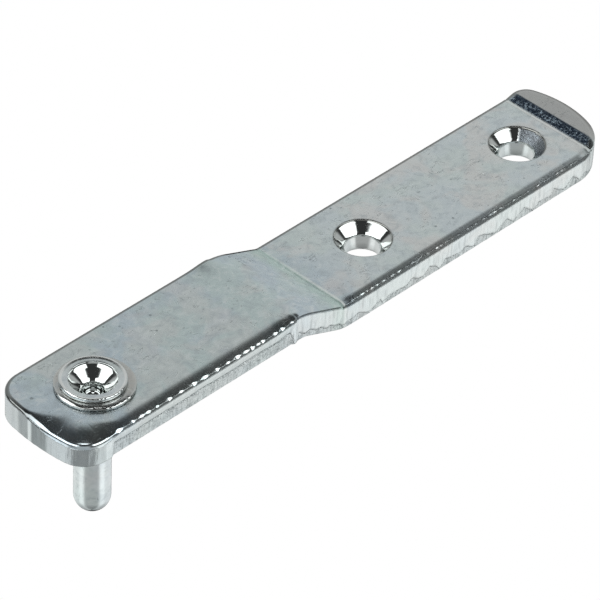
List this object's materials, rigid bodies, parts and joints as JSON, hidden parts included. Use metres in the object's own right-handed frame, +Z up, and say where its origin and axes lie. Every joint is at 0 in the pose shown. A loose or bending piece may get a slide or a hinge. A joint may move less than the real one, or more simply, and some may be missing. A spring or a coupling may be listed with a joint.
{
  "type": "cranked casement stay arm",
  "caption": "Cranked flat steel stay arm with countersunk screw holes at one end and a turning pivot pin, clinched over a washer, at the other.",
  "frame": {"origin": "on the pivot pin's axis, at the underside of the arm's pin section", "axes": "+X along the arm towards the screw holes, +Y across the arm, +Z up, away from the pin's tip"},
  "size_m": [0.1233, 0.0204, 0.0265],
  "materials": {
    "arm_steel": "bright blue zinc plate on blanked steel, satin, with small pits and scratches",
    "pin_steel": "bright zinc plate on turned steel, smooth",
    "washer_steel": "bright zinc plate on stamped steel"
  },
  "bodies": {
    "arm": {"cranked_arm": "arm_steel", "washer": "washer_steel"},
    "pin": {"pivot_pin": "pin_steel"}
  },
  "joints": [
    {"name": "pin_turn", "type": "hinge", "parent": "arm", "child": "pin", "pos_m": [0, 0, 0], "axis": [0, 0, 1], "continuous": true}
  ]
}
